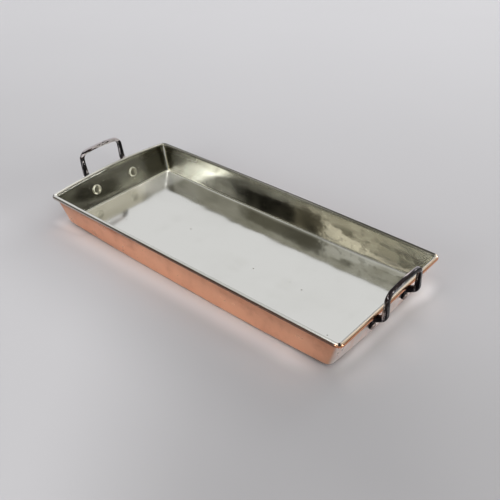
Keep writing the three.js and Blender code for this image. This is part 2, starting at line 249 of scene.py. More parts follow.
# Noise of hand work: each row has its waves per metre, its height and its place in the noise
FLOOR_DENTS = ((17, 1, (3.1, 0.4, 8.2)), (42, 0.45, (1.7, 5.2, 0.3)))
BEAD_DENTS = ((55, 1, (0, 0, 0)), (130, 0.5, (7, 3, 1)))
HAMMER_MARKS = ((95, 1, (0, 0, 0)), (240, 0.5, (4, 1, 2)))
RIVET_MARKS = ((190, 1, (0, 0, 0)),)

# How far hammering lowers the face of the iron, in depths of a hammer mark
HAMMERED = 0.6


def hand_work(place, rows):
    """How much hand work has raised or lowered a face at a place, of its full depth."""
    return sum(
        height * noise.noise(place * waves + Vector(shift)) for waves, height, shift in rows
    )


def part_of(value, low, high):
    """How far a value is from low to high, from 0 to 1."""
    return min(max((value - low) / (high - low), 0), 1)


def direction(azimuth, elevation):
    """The direction at an azimuth from +Y towards +X and an elevation above level."""
    level = math.cos(elevation)
    return Vector((math.sin(azimuth) * level, math.cos(azimuth) * level, math.sin(elevation)))


# Shape of the pan


class End:
    """One end of the tray: how its wall stands there, and how its handle sits."""

    def __init__(self, pan, handle, name):
        self.name = name
        self.sign = 1 if name == "near" else -1
        for size in ("flare", "front_flare", "bow", "crown", "belly", "lift"):
            setattr(self, size, getattr(pan, f"{name}_{size}", 0))
        for size in ("leg_gap", "elbow_drop", "lean", "shift"):
            setattr(self, size, getattr(handle, f"{name}_{size}"))
        self.rivet_height = pan.rim_height - getattr(handle, f"{name}_rivet_drop")


class Pan:
    """Where each point of the pan lies. down is how far down a wall it is: 0 at the rim wire,
    1 at the table. depth is how far a face of the sheet lies above the copper underside."""

    # Degrees from the diagonal of a corner to its straight side, for the mesh lines between
    CORNER_LINES = (0, 2.6, 5.2, 9.5, 16, 24, 34, 45)

    # Swelling of the rim, in depths of a nick, by mesh lines from a corner's diagonal
    CUTS = {0: -1, 1: -0.35, 2: 0.12}

    # Heights over which the floor's dents turn into the walls' dents, and those fade out
    WALL_DENTS = (0.004, 0.016)
    NO_DENTS = (0.036, 0.046)

    def __init__(self, sizes, handle):
        self.sizes = sizes
        self.near = End(sizes, handle, "near")
        self.far = End(sizes, handle, "far")
        self.bore = sizes.wire / 2 + sizes.wire_gap
        self.lining_front = sizes.sheet + sizes.tin_gap + sizes.tin
        self.rolled = self.bore + self.lining_front
        self.floor_inset = self.bore + sizes.sheet + sizes.heel_radius
        self.corner = len(self.CORNER_LINES) - 1
        self.columns = 2 * self.corner + LONG_STEPS
        self.rows = 2 * self.corner + END_STEPS

    def half_length(self, end, down, inset):
        return self.sizes.rim_length / 2 - end.flare * down - inset

    def half_width(self, end, side, down, inset):
        flare = self.sizes.back_flare if side > 0 else end.front_flare
        return self.sizes.rim_width / 2 - flare * down - inset

    def by_hand(self, x, y, z, down):
        """Moves a point of the straight pan to where the hand-made pan has it."""
        sizes = self.sizes
        end = self.far if x < 0 else self.near
        along = abs(x) / (sizes.rim_length / 2)
        across = abs(y) / (sizes.rim_width / 2)
        up = 1 - down
        end_share = along * max(0, 1 - across**2)
        end_bow = end.bow * up + end.belly * down
        if y > 0:
            side_bow = sizes.back_bow * up + sizes.back_belly * down
        else:
            side_bow = sizes.front_belly * down
        lifted = self.half_length(end, 1, self.bore) - sizes.flat_base / 2
        climb = max(0, abs(x) - sizes.flat_base / 2) / lifted
        return Vector((
            x + end.sign * end_bow * end_share,
            y + math.copysign(side_bow * across * max(0, 1 - along**2), y),
            z + end.lift * down * climb**2 + end.crown * up * end_share,
        ))

    def around(self, column, row, radius, inset, down, z):
        """The point that a column and row of the mesh have on one outline of the pan."""
        k = self.corner
        columns_in = min(column, self.columns - column)
        rows_in = min(row, self.rows - row)
        ring = min(columns_in, rows_in, k)
        u = part_of(column, k, self.columns - k)
        v = part_of(row, k, self.rows - k)
        x_far = -(self.half_length(self.far, down, inset) - radius)
        x_near = self.half_length(self.near, down, inset) - radius
        x = x_far + (x_near - x_far) * u
        widths = []
        for side in (-1, 1):
            at_far = self.half_width(self.far, side, down, inset) - radius
            at_near = self.half_width(self.near, side, down, inset) - radius
            widths.append(side * (at_far + (at_near - at_far) * u))
        y = widths[0] + (widths[1] - widths[0]) * v
        if ring < k:
            lines = self.CORNER_LINES
            reach = min(columns_in - ring, k - ring) - min(rows_in - ring, k - ring)
            place = abs(reach) / (k - ring) * k
            low = min(int(place), k - 1)
            turned = lines[low] + (lines[low + 1] - lines[low]) * (place - low)
            angle = math.radians(45 + math.copysign(turned, reach))
            x += math.copysign(radius * math.cos(angle), column - self.columns / 2)
            y += math.copysign(radius * math.sin(angle), row - self.rows / 2)
        return self.by_hand(x, y, z, down)

    def floor_point(self, column, row, depth):
        """A point of the flat floor."""
        ring = min(column, self.columns - column, row, self.rows - row, self.corner)
        radius = self.sizes.base_corner * (1 - ring / self.corner)
        inset = self.floor_inset + self.sizes.base_corner - radius
        return self.around(column, row, radius, inset, 1, depth)

    def wall_point_of(self, column, row, inset, down, z):
        """A point of an outline above the floor."""
        at_rim = self.sizes.rim_corner + self.rolled
        at_floor = self.sizes.base_corner + self.floor_inset
        radius = at_rim + (at_floor - at_rim) * down - inset
        return self.around(column, row, radius, inset, down, z)

    def outlines(self, depth):
        """The outlines of one face of the sheet, from the heel to the lip of the rolled rim.
        Each has its way mark, 0 to 1 round the heel, to 2 up the wall and to 3 at the lip."""
        sizes = self.sizes
        heel = sizes.heel_radius + sizes.sheet - depth
        roll = self.bore + depth
        top = depth + heel
        outlines = []
        for step in range(1, HEEL_STEPS + 1):
            angle = step / HEEL_STEPS * math.pi / 2
            z = depth + heel * (1 - math.cos(angle))
            inset = roll + heel * (1 - math.sin(angle))
            outlines.append((step / HEEL_STEPS, inset, 1 - z / sizes.rim_height, z, None))
        for step in range(1, WALL_STEPS):
            z = top + (sizes.rim_height - top) * step / WALL_STEPS
            outlines.append((1 + step / WALL_STEPS, roll, 1 - z / sizes.rim_height, z, None))
        for step in range(ROLL_STEPS + 1):
            angle = sizes.roll * step / ROLL_STEPS
            outlines.append((2 + step / ROLL_STEPS, roll, 0, sizes.rim_height, angle))
        return outlines

    def outline_point(self, column, row, outline):
        """A point of an outline, on the wall or round the rim wire."""
        _, inset, down, z, angle = outline
        if angle is None:
            return self.wall_point_of(column, row, inset, down, z)
        middle = self.wall_point_of(column, row, 0, 0, z)
        roll = inset * self.bead_size(column, row, middle)
        return self.wall_point_of(
            column, row, roll * math.cos(angle), 0, z + roll * math.sin(angle)
        )

    def bead_size(self, column, row, middle):
        """How thick the rolled rim is at a place, as a share of its mean thickness."""
        swell = self.sizes.bead_dent * hand_work(middle, BEAD_DENTS)
        cut = self.sizes.nick * self.CUTS.get(self.from_corner(column, row), 0)
        return 1 + (swell + cut) / self.rolled

    def from_corner(self, column, row):
        """How many mesh lines a place on an outline is from the nearest corner's diagonal."""
        return max(min(column, self.columns - column), min(row, self.rows - row))

    def wall_point(self, end, y, height, clear):
        """A point beside an end wall, clear of its copper face by the given distance."""
        down = 1 - height / self.sizes.rim_height
        x = end.sign * self.half_length(end, down, self.bore - clear)
        return self.by_hand(x, y, height, down)

    def wall_normal(self, end, y, height):
        """The direction straight out of an end wall."""
        step = 0.001
        place = self.wall_point(end, y, height, 0)
        across = self.wall_point(end, y + end.sign * step, height, 0) - place
        upwards = self.wall_point(end, y, height + step, 0) - place
        return across.cross(upwards).normalized()

    def dent(self, place):
        """How far hand work has pushed the sheet in or out at a place of its underside."""
        sizes = self.sizes
        on_wall = part_of(place.z, *self.WALL_DENTS)
        near_rim = part_of(place.z, *self.NO_DENTS)
        depth = sizes.floor_dent + (sizes.wall_dent - sizes.floor_dent) * on_wall
        return depth * hand_work(place, FLOOR_DENTS) * (1 - near_rim)


def pan_face(pan, depth):
    """One face of the sheet as an open mesh, from the middle of the floor to the lip."""
    mesh = bmesh.new()
    layers = mesh.verts.layers
    column, row = (layers.int.new(name) for name in ("column", "row"))
    seat = layers.float_vector.new("seat")
    way, corner = (layers.float.new(name) for name in ("way", "corner"))
    bmesh.ops.create_grid(mesh, x_segments=pan.columns, y_segments=pan.rows, size=0.5)
    for vert in mesh.verts:
        vert[column] = round((vert.co.x + 0.5) * pan.columns)
        vert[row] = round((vert.co.y + 0.5) * pan.rows)
        vert.co = pan.floor_point(vert[column], vert[row], depth)
        vert[seat] = pan.floor_point(vert[column], vert[row], 0)
    edges = [edge for edge in mesh.edges if edge.is_boundary]
    for outline, under in zip(pan.outlines(depth), pan.outlines(0)):
        grown = bmesh.ops.extrude_edge_only(mesh, edges=edges)["geom"]
        edges = [item for item in grown if isinstance(item, bmesh.types.BMEdge)]
        edges = [edge for edge in edges if edge.is_boundary]
        for vert in grown:
            if isinstance(vert, bmesh.types.BMVert):
                vert.co = pan.outline_point(vert[column], vert[row], outline)
                vert[seat] = pan.outline_point(vert[column], vert[row], under)
                vert[way] = outline[0]
                vert[corner] = max(0, 1 - pan.from_corner(vert[column], vert[row]) / pan.corner)
    push_out(mesh, lambda vert: pan.dent(Vector(vert[seat])))
    return mesh


# Forging


def bent_path(points, radii):
    """A path through corner points, with a round bend at each inner one."""
    path = [points[0].copy()]
    for before, corner, after, radius in zip(points, points[1:], points[2:], radii):
        back = (before - corner).normalized()
        ahead = (after - corner).normalized()
        half = back.angle(ahead) / 2
        start = corner + back * (radius / math.tan(half))
        centre = corner + (back + ahead).normalized() * (radius / math.sin(half))
        axis = (start - centre).cross(corner + ahead * (radius / math.tan(half)) - centre)
        for step in range(BEND_STEPS + 1):
            turned = Quaternion(axis, (math.pi - 2 * half) * step / BEND_STEPS)
            path.append(centre + turned @ (start - centre))
    path.append(points[-1].copy())
    return path


def even_path(path):
    """The same path with points at even distances."""
    lengths = [0]
    for before, after in zip(path, path[1:]):
        lengths.append(lengths[-1] + (after - before).length)
    steps = round(lengths[-1] / BAR_STEP)
    even = []
    at = 0
    for step in range(steps + 1):
        wanted = lengths[-1] * step / steps
        while at < len(path) - 2 and lengths[at + 1] < wanted:
            at += 1
        part = (wanted - lengths[at]) / (lengths[at + 1] - lengths[at])
        even.append(path[at].lerp(path[at + 1], part))
    return even


def foot_height(pan, handle, end, seat_gap):
    """The height on the wall where a foot starts, to pass close below the rolled rim."""
    elbow_out = pan.rolled + end.leg_gap + handle.foot / 2
    circle = pan.rolled + handle.rim_clearance + handle.foot / 2
    slope = math.asin(circle / math.hypot(elbow_out, end.elbow_drop))
    slope -= math.atan2(end.elbow_drop, elbow_out)
    foot_share = 1 - (handle.foot_spacing / pan.sizes.rim_width) ** 2
    wall_slope = (end.flare - end.belly * foot_share) / pan.sizes.rim_height
    wall_out = seat_gap + handle.palm / 2 - pan.bore - wall_slope * end.elbow_drop
    reach = (elbow_out - wall_out) / (math.cos(slope) - wall_slope * math.sin(slope))
    return pan.sizes.rim_height - end.elbow_drop - reach * math.sin(slope)


def handle_path(pan, handle, end, root_height, seat_gap):
    """The axis of a handle's bar, from one root on the wall to the other."""
    turns = []
    for side in (-1, 1):
        y = end.shift + side * handle.foot_spacing / 2
        root = pan.wall_point(end, y, root_height, seat_gap + handle.palm / 2)
        elbow = pan.by_hand(end.sign * pan.sizes.rim_length / 2, y, pan.sizes.rim_height, 0)
        elbow.x += end.sign * (pan.rolled + end.leg_gap + handle.foot / 2)
        elbow.z -= end.elbow_drop
        shoulder = elbow.copy()
        shoulder.x += end.sign * handle.rise * math.sin(end.lean)
        shoulder.z += handle.rise * math.cos(end.lean)
        turns.extend([root, elbow, shoulder] if side < 0 else [shoulder, elbow, root])
    radii = [handle.elbow_radius, handle.shoulder_radius]
    path = even_path(bent_path(turns, radii + radii[::-1]))
    half = handle.foot_spacing / 2 - handle.shoulder_radius
    for point in path:
        if point.z > turns[2].z - GRIP_DEPTH:
            share_out = min(abs(point.y - end.shift) / half, 1)
            point.z += handle.crown * (1 - share_out**2)
    return path, turns[0].z, turns[2].z


def forge_bar(mesh, path, handle, low, high, outwards):
    """Draws a square bar with rounded edges along a path."""
    made = bmesh.ops.create_circle(mesh, cap_ends=True, segments=BAR_SIDES, radius=1)["verts"]
    for vert in made:
        angle = math.atan2(vert.co.y, vert.co.x)
        spread = sum(abs(side) ** SQUARENESS for side in (math.cos(angle), math.sin(angle)))
        spread **= -1 / SQUARENESS
        vert.co = Vector((math.cos(angle), math.sin(angle), 0)) * spread * 0.5
    face = made[0].link_faces[0]
    wide = Vector((0, 1, 0))
    section = Matrix.Identity(4)
    last = len(path) - 1
    for i, point in enumerate(path):
        along = (path[min(i + 1, last)] - path[max(i - 1, 0)]).normalized()
        if i in (0, last):
            along = outwards if i == 0 else -outwards
        wide = (wide - along * wide.dot(along)).normalized()
        deep = along.cross(wide)
        thick = handle.foot + (handle.grip - handle.foot) * part_of(point.z, low, high)
        frame_here = Matrix((wide * thick, deep * thick, along)).transposed().to_4x4()
        placed = Matrix.Translation(point) @ frame_here
        if i > 0:
            grown = bmesh.ops.extrude_face_region(mesh, geom=[face])["geom"]
            face = next(item for item in grown if isinstance(item, bmesh.types.BMFace))
        bmesh.ops.transform(mesh, matrix=placed @ section.inverted(), verts=face.verts[:])
        section = placed


def forge_palm(mesh, pan, handle, end, side, top, seat_gap):
    """Lays a flat palm on an end wall, from top downwards, with a round tail."""
    made = bmesh.ops.create_grid(
        mesh, x_segments=PALM_COLUMNS, y_segments=PALM_ROWS, size=0.5
    )["verts"]
    middle = end.shift + side * handle.foot_spacing / 2
    half = handle.palm_width / 2
    tip = end.rivet_height - handle.palm_tail
    for vert in made:
        height = top + (tip - top) * (vert.co.y + 0.5)
        below = max(tip + half - height, 0)
        width = math.sqrt(max(half**2 - below**2, PALM_END**2))
        y = middle + end.sign * vert.co.x * 2 * width
        vert.co = pan.wall_point(end, y, height, seat_gap + handle.palm)
    faces = list({face for vert in made for face in vert.link_faces})
    bmesh.ops.recalc_face_normals(mesh, faces=faces)
    mesh.normal_update()
    if faces[0].normal.x * end.sign < 0:
        bmesh.ops.reverse_faces(mesh, faces=faces)
    bmesh.ops.solidify(mesh, geom=faces, thickness=handle.palm)


# Finishing of pieces


def push_out(mesh, depth_at):
    """Moves each vertex along its normal, by what depth_at says for it."""
    mesh.normal_update()
    moves = [vert.normal * depth_at(vert) for vert in mesh.verts]
    for vert, move in zip(mesh.verts, moves):
        vert.co += move
    mesh.normal_update()


def place_object(name, data):
    """Puts a mesh, light or camera into the scene as an object."""
    made = bpy.data.objects.new(name, data)
    bpy.context.scene.collection.objects.link(made)
    return made


def place_mesh(name, mesh):
    """Puts a finished bmesh into the scene as an object."""
    data = bpy.data.meshes.new(name)
    mesh.to_mesh(data)
    mesh.free()
    return place_object(name, data)


def aim(made, place, back):
    """Puts a light or camera at a place, with its back in a direction."""
    made.location = place
    made.rotation_mode = "QUATERNION"
    made.rotation_quaternion = back.to_track_quat("Z", "Y")


def add_piece(name, mesh, material, replaced):
    """Turns a finished bmesh into a piece that rides on the tray."""
    for face in mesh.faces:
        face.smooth = True
    piece = place_mesh(name, mesh)
    piece.data.materials.append(material)
    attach(piece, "root")
    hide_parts(*replaced)


def melt_together(mesh, voxel, rounds):
    """Makes one even skin of the solids in a bmesh, as forge welding does, and softens it."""
    block = place_mesh("forging", mesh)
    data = block.data
    remesh = block.modifiers.new("skin", "REMESH")
    remesh.mode = "VOXEL"
    remesh.voxel_size = voxel
    soften = block.modifiers.new("soften", "SMOOTH")
    soften.factor = 0.5
    soften.iterations = rounds
    bpy.context.view_layer.update()
    melted = bmesh.new()
    melted.from_object(block, bpy.context.evaluated_depsgraph_get())
    bpy.data.objects.remove(block)
    bpy.data.meshes.remove(data)
    return melted


# Materials


class Reading:
    """A value in a node tree. Sums on it add Math nodes."""

    def __init__(self, tree, socket=None):
        self.tree = tree
        self.socket = socket

    def node(self, kind, settings=None, inputs=None, output=0):
        """Adds a shader node with its settings, then the values or links of its sockets."""
        made = self.tree.nodes.new(f"ShaderNode{kind}")
        for name, value in (settings or {}).items():
            setattr(made, name, value)
        for name, value in (inputs or {}).items():
            if isinstance(value, Reading):
                self.tree.links.new(value.socket, made.inputs[name])
            else:
                made.inputs[name].default_value = value
        return Reading(self.tree, made.outputs[output] if made.outputs else None)

    def sum(self, operation, *values):
        return self.node("Math", {"operation": operation}, dict(enumerate(values)))

    def __add__(self, other):
        return self.sum("ADD", self, other)

    def __radd__(self, other):
        return self.sum("ADD", other, self)

    def __sub__(self, other):
        return self.sum("SUBTRACT", self, other)

    def __rsub__(self, other):
        return self.sum("SUBTRACT", other, self)

    def __mul__(self, other):
        return self.sum("MULTIPLY", self, other)

    def __rmul__(self, other):
        return self.sum("MULTIPLY", other, self)

    def ramp(self, low, high, start=0.0, end=1.0):
        """The value taken from low..high to start..end with soft ends."""
        return self.node(
            "MapRange",
            {"interpolation_type": "SMOOTHSTEP"},
            {"Value": self, "From Min": low, "From Max": high, "To Min": start, "To Max": end},
        )

    def between(self, low, full, falling, gone):
        """1 from full to falling, and 0 below low and above gone."""
        return self.ramp(low, full) * self.ramp(gone, falling)

    def stirred(self, pattern, reach):
        """The value moved to and fro by a noise, so that a ramp on it gets a ragged edge."""
        return self + (pattern - 0.5) * reach

    def clamp(self):
        return self.node("Clamp", {}, {"Value": self})

    def larger(self, other):
        return self.sum("MAXIMUM", self, other)

    def mix(self, *colours):
        """The first colour where the value is 0, the second where it is 1."""
        one, other = (
            shade if isinstance(shade, Reading) else (*shade, 1) for shade in colours
        )
        return self.node("Mix", {"data_type": "RGBA"}, {0: self, 6: one, 7: other}, 2)

    def attribute(self, name):
        return self.node("Attribute", {"attribute_name": name}, {}, "Fac")

    def noise(self, scale, detail=2.0, rough=0.5, stretch=(1, 1, 1), shift=(0, 0, 0)):
        """Noise over places, stretched along their axes."""
        mapped = self.node(
            "Mapping", {}, {"Vector": self, "Scale": stretch, "Location": shift}
        )
        return self.node(
            "TexNoise",
            {},
            {"Vector": mapped, "Scale": scale, "Detail": detail, "Roughness": rough},
        )

    def bump(self, strength, distance):
        return self.node(
            "Bump", {}, {"Height": self, "Strength": strength, "Distance": distance}
        )


def start_material(name):
    """A new material, the object's own coordinates in it and their three parts."""
    material = bpy.data.materials.new(name)
    material.use_nodes = True
    material.node_tree.nodes.clear()
    place = Reading(material.node_tree).node("TexCoord", {}, {}, "Object")
    parts = [place.node("SeparateXYZ", {}, {"Vector": place}, axis) for axis in "XYZ"]
    return material, place, *parts


def finish(material, **sockets):
    """Gives a material its shader, with the sockets named in lower case."""
    here = Reading(material.node_tree)
    titles = (name.replace("_", " ").title().replace("Ior", "IOR") for name in sockets)
    shader = here.node("BsdfPrincipled", {}, dict(zip(titles, sockets.values())))
    here.node("OutputMaterial", {}, {"Surface": shader})
    return material


def tin_material(colours):
    """Tin wiped on by hand: a soft mirror with streaks, clouds of greyed tin and dark specks,
    with painted shade in its creases, nicks and rims and a painted highlight in its corners.
    """
    material, place, x, y, _ = start_material("wiped_tin")
    clouds = place.noise(9, 3, 0.55)
    streaks = place.noise(26, 4, 0.6, (0.12, 1, 1))
    cross = place.noise(26, 4, 0.6, (1, 0.2, 0.6), (0.3, 0.1, 0.2))
    wiped = (streaks + cross) * 0.5
    smear = place.noise(34, 4, 0.62, (0.45, 1, 1), (0.7, 0.2, 0.1))
    jag = place.noise(120, 3, 0.6, (0.6, 1, 0.8), (0.4, 0.3, 0.7))
    dots = place.node("TexVoronoi", {}, {"Vector": place, "Scale": 60.0})
    speck = dots.ramp(0.05, 0.1, 1, 0) * place.noise(25, 1).ramp(0.58, 0.66)

    # Parts of the lining. way is 1 at the foot of a wall, 2 at the rim and 3 at the lip
    way = place.attribute("way")
    corner = place.attribute("corner")
    on_floor = way.ramp(0.3, 0)
    crease = way.between(0.25, 0.45, 0.9, 1.1)
    on_bead = way.ramp(1.97, 2.03)
    on_wall = way.ramp(0.9, 1.15) * (1 - on_bead)
    # Tin pooled in the inner corners, painted lighter as a highlight along them
    pooled_and_highlit = (corner + way.ramp(1.4, 1.75) * 0.2).ramp(0.45, 0.95) * on_wall
    clear_wall = on_wall * (1 - pooled_and_highlit)
    at_back = y.ramp(0.1125, 0.1145) * clear_wall
    at_near = x.ramp(0.276, 0.281)
    off_near = x.ramp(0.281, 0.277)
    at_far = x.ramp(-0.276, -0.281)
    at_right = x.ramp(0, 0.1) * y.ramp(0, 0.05)
    to_left = y.ramp(0.01, -0.04)
    by_front = y.ramp(-0.1, -0.11)
    back_bead = on_bead * y.ramp(0.119, 0.124)
    front_bead = on_bead * y.ramp(-0.12, -0.124) * x.ramp(-0.22, 0.05)

    # The back wall has a hazy band under its rim, and a near-black patch in its middle
    hazy_from = x.ramp(0.105, 0.19, 1.62, 1.12)
    hazy = (way.stirred(smear, 0.8).stirred(jag, 0.5) - hazy_from).ramp(-0.06, 0.08)
    hazy = hazy * x.ramp(0.075, 0.095)
    hazy = hazy.larger(way.stirred(smear, 0.7).ramp(1.62, 1.9) * 0.8) * at_back
    dark_patch = x.stirred(smear, 0.08).ramp(-0.1, -0.06) * x.stirred(jag, 0.06).ramp(0.1, 0.075)
    dark_patch = dark_patch * way.stirred(smear, 0.9).ramp(1.85, 1.6)
    smudge = hazy * smear.ramp(0.48, 0.6) * way.ramp(1.8, 1.62) * x.ramp(0.09, 0.13) * 0.45
    flecks = jag.ramp(0.55, 0.65) * x.ramp(0.08, 0.11) * 0.2
    dark_patch = (dark_patch * 0.85 + smudge + flecks) * at_back

    # Greyed tin, with painted shade in the heel crease and on the rolled rims
    smoke = (wiped * 0.6 + clouds * 0.4).ramp(0.44, 0.62) * clear_wall
    smoke = smoke * x.ramp(-0.265, -0.25, 0.3, 1)
    dull_and_shade = clouds.ramp(0.45, 0.75) * 0.06 + wiped.ramp(0.5, 0.7) * 0.1 + speck * 0.8
    dull_and_shade = dull_and_shade + smoke * (0.6 - at_back * 0.3) + crease * (0.85 - at_right * 0.4) + hazy * 0.5
    dull_and_shade = dull_and_shade + back_bead * 0.5 + front_bead * 0.3 + on_bead * at_near * 0.4
    tint = dull_and_shade.clamp().mix(colours.tin, colours.tin_dull)

    # Dark tin: the far end wall darker towards the back, painted shade in a groove, and a pale
    # ledge, below the far rim, and painted shade in the heel crease at the back right, in the
    # nicks, near the far corner of the back wall and on the far and back rims
    far_end_dark = (smear * 0.5 + cross * 0.5).ramp(0.5, 0.62) * 0.06 + y.ramp(0.05, 0.08) * 0.93
    far_end_dark = far_end_dark * x.ramp(-0.25, -0.265) * clear_wall
    heel_shade = way.between(0.05, 0.2, 0.6, 0.8) * at_right
    # Painted shade in the nicks at the corners of the rolled rim
    cut = corner.ramp(0.9, 0.98) * on_bead
    dark = dark_patch + far_end_dark + cut * 0.9 + heel_shade * 0.45 + speck * 0.5
    dark = dark + at_back * x.ramp(-0.19, -0.235) * (smear.ramp(0.35, 0.6) * 0.35 + 0.15)
    groove_shade = at_far * way.between(1.99, 2.03, 2.1, 2.16)
    ledge = at_far * way.between(1.95, 1.97, 2.0, 2.02) * to_left * 0.8
    dark = dark * (1 - ledge) + groove_shade * 0.8 + at_far * on_bead * (1 - to_left) * 0.35
    dark = (dark + back_bead * off_near * x.ramp(0, 0.2, 0.6, 0.95)).clamp()
    tint = dark.mix(tint, colours.tin_dark)
    tint = (dark_patch * x.ramp(-0.02, 0.03) * 0.5).mix(tint, colours.tin_burnt)
    tint = (pooled_and_highlit * 0.8).mix(tint, colours.solder)

    # The rolled rim: cream at the near end, copper at its worn lip with painted shade at the
    # front, and black painted shade in the nick at the near front corner, at the far front tip and
    # along the back rim
    creamy = at_near * on_bead * way.ramp(2.3, 2.42) * 0.9
    tint = creamy.mix(tint, colours.tin_cream)
    bare_and_shaded = (at_near * 0.85).mix(colours.copper_dark, colours.copper_bare)
    worn = way.stirred(wiped, 0.25).ramp(2.54, 2.64) * x.ramp(-0.2, -0.03, 0.55, 1)
    tint = worn.mix(tint, bare_and_shaded)
    notch = corner.ramp(0.25, 0.6) * way.between(2.0, 2.08, 2.65, 2.8) * x.ramp(0.2, 0.25)
    tip = corner.ramp(0.05, 0.4) * way.ramp(2.42, 2.5) * x.ramp(-0.2, -0.25)
    rim_line = (way + x.ramp(0, 0.15) * 0.07).ramp(2.27, 2.34) * back_bead * off_near
    rim_shade = notch * by_front + tip * by_front * 0.8 + rim_line * 0.85
    tint = rim_shade.mix(tint, colours.soot)

    by_corner = x.ramp(-0.16, -0.21) * at_back
    rough = 0.078 + clouds.ramp(0.35, 0.7) * 0.02 + wiped.ramp(0.45, 0.7) * 0.025 + speck * 0.2
    rough = rough + crease * (0.22 - at_right * 0.12) + on_bead * 0.06 + back_bead * 0.12
    rough = rough + pooled_and_highlit * 0.22 + hazy * 0.06 - dark_patch * 0.02
    rough = rough + on_floor * (0.02 + x.ramp(-0.19, -0.23) * 0.03 + x.ramp(-0.23, -0.245) * 0.1)
    rough = rough + by_corner * 0.16 + ledge * 0.3 + at_far * on_bead * 0.1 + rim_shade * 0.4
    filmed = on_floor * x.ramp(-0.215, -0.235) * y.ramp(0.015, 0.05)
    return finish(
        material,
        base_color=tint,
        metallic=1 - rim_shade * 0.9 - filmed * 0.24,
        roughness=rough,
        normal=place.noise(22, 1.5, 0.5, (0.3, 1, 1), (0.1, 0.4, 0.6)).bump(0.1, 0.001),
        specular_ior_level=0.0,
    )


def copper_material(colours):
    """Copper polished to a satin and mottled, with painted shade under the rim and at the base,
    and painted reflection that makes the near end wall paler.
    """
    material, place, x, y, z = start_material("satin_copper")
    way = place.attribute("way")
    mottle = place.noise(34, 4, 0.6)
    drawn = place.noise(60, 3, 0.6, (1, 1, 0.1))
    brushed = place.noise(90, 3, 0.6, (0.08, 1, 1))
    # Painted shade under the rolled rim, with dirt in the fold, half as strong at the far end
    shade_and_dirt_under_rim = way.ramp(1.88, 1.97) * mottle.ramp(0.25, 0.6, 0.6, 1) * x.ramp(-0.2, -0.03, 0.5, 1)
    # Painted shade along the base
    shade_at_base = way.ramp(0.75, 0.35) * mottle.ramp(0.3, 0.55, 0.7, 1)
    dull_and_shade = mottle.ramp(0.45, 0.75) * 0.2 + place.noise(9, 2).ramp(0.45, 0.7) * 0.08
    # Painted shade in a band under the rim, deeper towards the far end, and the front darker
    # towards the near end
    dull_and_shade = dull_and_shade + x.ramp(-0.05, -0.15) * way.ramp(1.65, 1.85, 0.15, 0.7)
    dull_and_shade = dull_and_shade + way.stirred(mottle, 0.6).ramp(1.35, 1.9) * 0.3
    dull_and_shade = (dull_and_shade + x.ramp(0.12, 0.24) * y.ramp(-0.08, -0.11) * 0.14).clamp()
    tint = dull_and_shade.larger(shade_at_base * 0.8).mix(colours.copper, colours.copper_dull)
    # Painted reflection: the near end wall and the corner before it paler, in drawn streaks
    pale_reflection = (x - z * 0.28).ramp(0.2615, 0.2665) * drawn.ramp(0.35, 0.6, 0.7, 1) * (1 - shade_at_base)
    tint = (pale_reflection * 0.95).mix(tint, colours.copper_pale)
    tint = shade_and_dirt_under_rim.mix(tint, colours.copper_dark)
    rough = 0.27 + mottle.ramp(0.35, 0.7) * 0.1 + brushed.ramp(0.4, 0.7) * 0.05
    relief = (brushed * 0.4 + mottle * 0.3).bump(0.2, 0.0008)
    return finish(material, base_color=tint, metallic=1.0, roughness=rough, normal=relief)


def iron_material(colours):
    """Forged iron: black glossy scale, with the grip and its shoulders rubbed bright, and a
    painted highlight along the near grip.
    """
    material, place, x, y, z = start_material("forged_iron")
    scale = place.noise(190, 5, 0.65)
    patches = place.noise(55, 3, 0.6, (1, 0.4, 1))
    pits = place.noise(620, 3, 0.6)
    across = place.noise(170, 4, 0.6, (1, 0.1, 1), (0.2, 0.1, 0.4))
    upright = place.noise(170, 4, 0.6, (1, 1, 0.1), (0.5, 0.2, 0.1))
    lines = across + (upright - across) * z.ramp(0.084, 0.078)
    proud = x.sum("ABSOLUTE", x).ramp(0.288, 0.295)
    far_grip = x.ramp(-0.27, -0.28) * z.ramp(0.083, 0.087)
    rubbed = (lines * 0.65 + scale * 0.25 + pits * 0.1 + far_grip * 0.12).ramp(0.535, 0.57)
    # Painted highlight: a bright line along the top of the near grip
    painted_highlight = x.between(0.2936, 0.2946, 0.2958, 0.2966) * z.ramp(0.085, 0.087)
    painted_highlight = painted_highlight * across.ramp(0.4, 0.5) * y.ramp(0.03, 0, 0.4, 1)
    brown = patches.ramp(0.48, 0.66) * x.ramp(0.1, -0.1, 0.3, 1)
    tint = brown.mix(colours.iron, colours.rust)
    tint = (rubbed * proud).mix(tint, colours.iron_worn)
    tint = painted_highlight.mix(tint, colours.iron_bright)
    return finish(
        material,
        base_color=tint,
        metallic=0.92,
        roughness=0.3 + scale.ramp(0.35, 0.7) * 0.2,
        normal=(scale * 0.5 + patches * 0.5 + pits * 0.2).bump(0.5, 0.0008),
        coat_weight=(lines * 0.8 + pits * 0.2).ramp(0.49, 0.55) * proud,
        coat_roughness=0.1,
        coat_ior=1.9,
    )


def rivet_material(colours):
    """Copper rivets, tinned inside the tray and grey outside."""
    material, place, x, *_ = start_material("tinned_rivet")
    spots = place.noise(300, 4, 0.6)
    inside = x.sum("ABSOLUTE", x).ramp(0.2795, 0.2775)
    middle = inside * place.attribute("way").stirred(spots, 0.3).ramp(0.84, 0.7)
    tint = inside.mix(colours.rivet, colours.tin_dull)
    tint = (spots.ramp(0.5, 0.75) * 0.4 + middle * 0.9).clamp().mix(tint, colours.tin_dark)
    rough = 0.3 + spots.ramp(0.4, 0.7) * 0.12
    relief = spots.bump(0.3, 0.0005)
    return finish(material, base_color=tint, metallic=1.0, roughness=rough, normal=relief)


